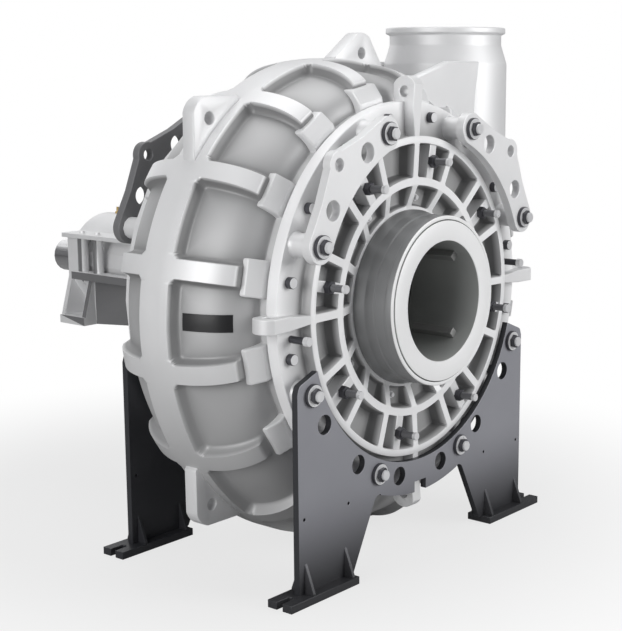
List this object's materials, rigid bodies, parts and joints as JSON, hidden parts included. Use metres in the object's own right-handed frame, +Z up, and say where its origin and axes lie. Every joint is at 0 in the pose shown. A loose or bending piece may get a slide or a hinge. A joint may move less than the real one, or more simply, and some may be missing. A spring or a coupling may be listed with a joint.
{
  "type": "slurry pump",
  "caption": "Horizontal slurry pump: ribbed volute casing with upward discharge, spoked suction cover, side plates on legs, packed gland and bearing pedestal with keyed shaft end.",
  "frame": {"origin": "on the floor under the middle of the pump's overall length and width", "axes": "+Z up, -Y out of the suction flange along the pump axis, +Y to the drive end, +X to the discharge side"},
  "size_m": [3.117, 3.38, 3.12],
  "materials": {
    "cast_steel": "satin light grey cast finish",
    "machined_steel": "machined and polished",
    "suction_casting": "dark grey cast finish",
    "leg_paint": "dark grey paint",
    "white_iron": "bare wear-resistant casting",
    "bolt_steel": "bare steel",
    "gland_packing": "braided packing",
    "nipple_brass": "bare brass"
  },
  "bodies": {
    "pump_body": {"volute_casing": "cast_steel", "suction_cover": "cast_steel", "suction_sleeve": "suction_casting", "back_liner": "white_iron", "back_cover": "cast_steel", "stuffing_box": "cast_steel", "packing_inner": "gland_packing", "lantern_ring": "machined_steel", "packing_outer": "gland_packing", "pump_bearing_outer": "bolt_steel", "drive_bearing_outer": "bolt_steel", "pump_end_cover": "cast_steel", "drive_end_cover": "cast_steel", "bearing_housing": "cast_steel", "bearing_pedestal": "cast_steel", "bearing_cap": "cast_steel", "grease_nipple_1": "nipple_brass", "grease_nipple_2": "nipple_brass", "front_legs": "leg_paint", "rear_legs": "leg_paint", "front_tie_bolt_1": "bolt_steel", "rear_tie_bolt_1": "bolt_steel", "front_tie_bolt_2": "bolt_steel", "rear_tie_bolt_2": "bolt_steel", "front_tie_bolt_3": "bolt_steel", "rear_tie_bolt_3": "bolt_steel", "front_tie_bolt_4": "bolt_steel", "rear_tie_bolt_4": "bolt_steel", "front_tie_bolt_5": "bolt_steel", "rear_tie_bolt_5": "bolt_steel", "front_tie_bolt_6": "bolt_steel", "rear_tie_bolt_6": "bolt_steel", "front_tie_bolt_7": "bolt_steel", "rear_tie_bolt_7": "bolt_steel", "front_tie_bolt_8": "bolt_steel", "rear_tie_bolt_8": "bolt_steel", "front_tie_plate_left": "cast_steel", "front_tie_plate_right": "cast_steel", "rear_tie_plate_left": "cast_steel", "rear_tie_plate_right": "cast_steel"},
    "rotor": {"shaft": "machined_steel", "impeller": "white_iron", "shaft_sleeve": "machined_steel", "pump_bearing_inner": "bolt_steel", "drive_bearing_inner": "bolt_steel", "pump_labyrinth": "machined_steel", "drive_labyrinth": "machined_steel"},
    "liner_set": {"suction_liner": "white_iron", "adjuster_stud_1": "bolt_steel", "adjuster_stud_2": "bolt_steel", "adjuster_stud_3": "bolt_steel", "adjuster_stud_4": "bolt_steel", "adjuster_stud_5": "bolt_steel", "adjuster_stud_6": "bolt_steel", "adjuster_stud_7": "bolt_steel", "adjuster_stud_8": "bolt_steel"},
    "gland": {"gland_follower": "machined_steel"}
  },
  "joints": [
    {"name": "rotor_spin", "type": "hinge", "parent": "pump_body", "child": "rotor", "pos_m": [-0.0905, 0, 1.5386], "axis": [0, 1, 0], "continuous": true},
    {"name": "liner_adjust", "type": "slide", "parent": "pump_body", "child": "liner_set", "axis": [0, 1, 0], "range_m": [0, 0.012]},
    {"name": "gland_slide", "type": "slide", "parent": "pump_body", "child": "gland", "axis": [0, 1, 0], "range_m": [0, 0.03]}
  ]
}
